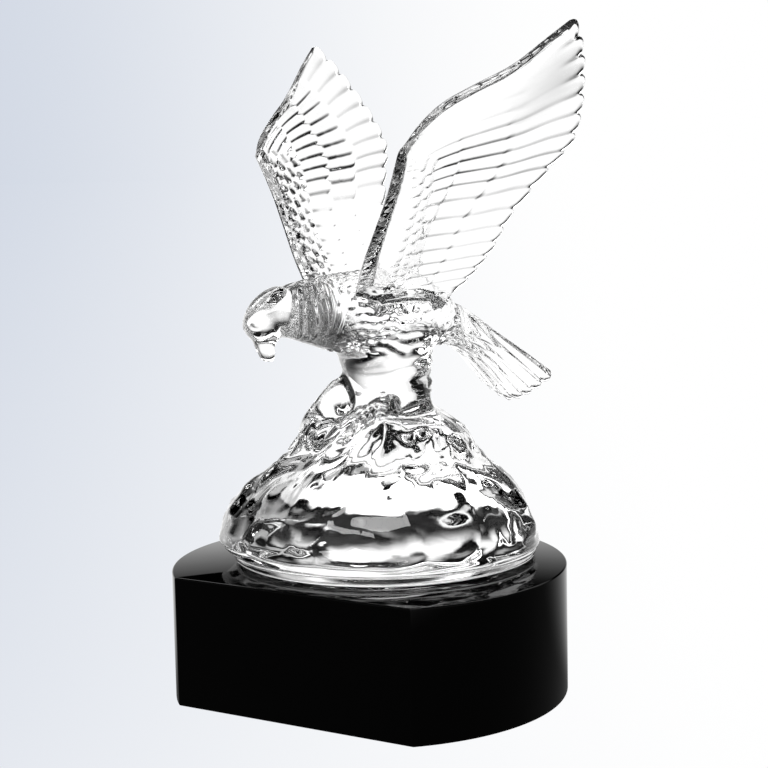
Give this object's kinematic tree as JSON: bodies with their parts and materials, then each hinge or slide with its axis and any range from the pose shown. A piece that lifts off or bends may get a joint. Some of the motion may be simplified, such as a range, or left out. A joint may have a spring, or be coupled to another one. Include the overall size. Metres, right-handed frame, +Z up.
{
  "type": "crystal eagle award",
  "caption": "Clear cast-glass eagle with raised wings on a rock, standing on a black glass plinth with a flat front.",
  "frame": {"origin": "centre of the plinth's round underside, where the award rests", "axes": "+Z up, -Y out of the plinth's flat front face; the eagle looks 21 degrees to its own right of -Y"},
  "size_m": [0.1464, 0.1302, 0.2315],
  "materials": {
    "clear_crystal": "clear fire-polished lead crystal",
    "black_glass": "polished opaque black glass"
  },
  "bodies": {
    "root": {"crystal_eagle": "clear_crystal", "black_glass_plinth": "black_glass"}
  },
  "joints": []
}
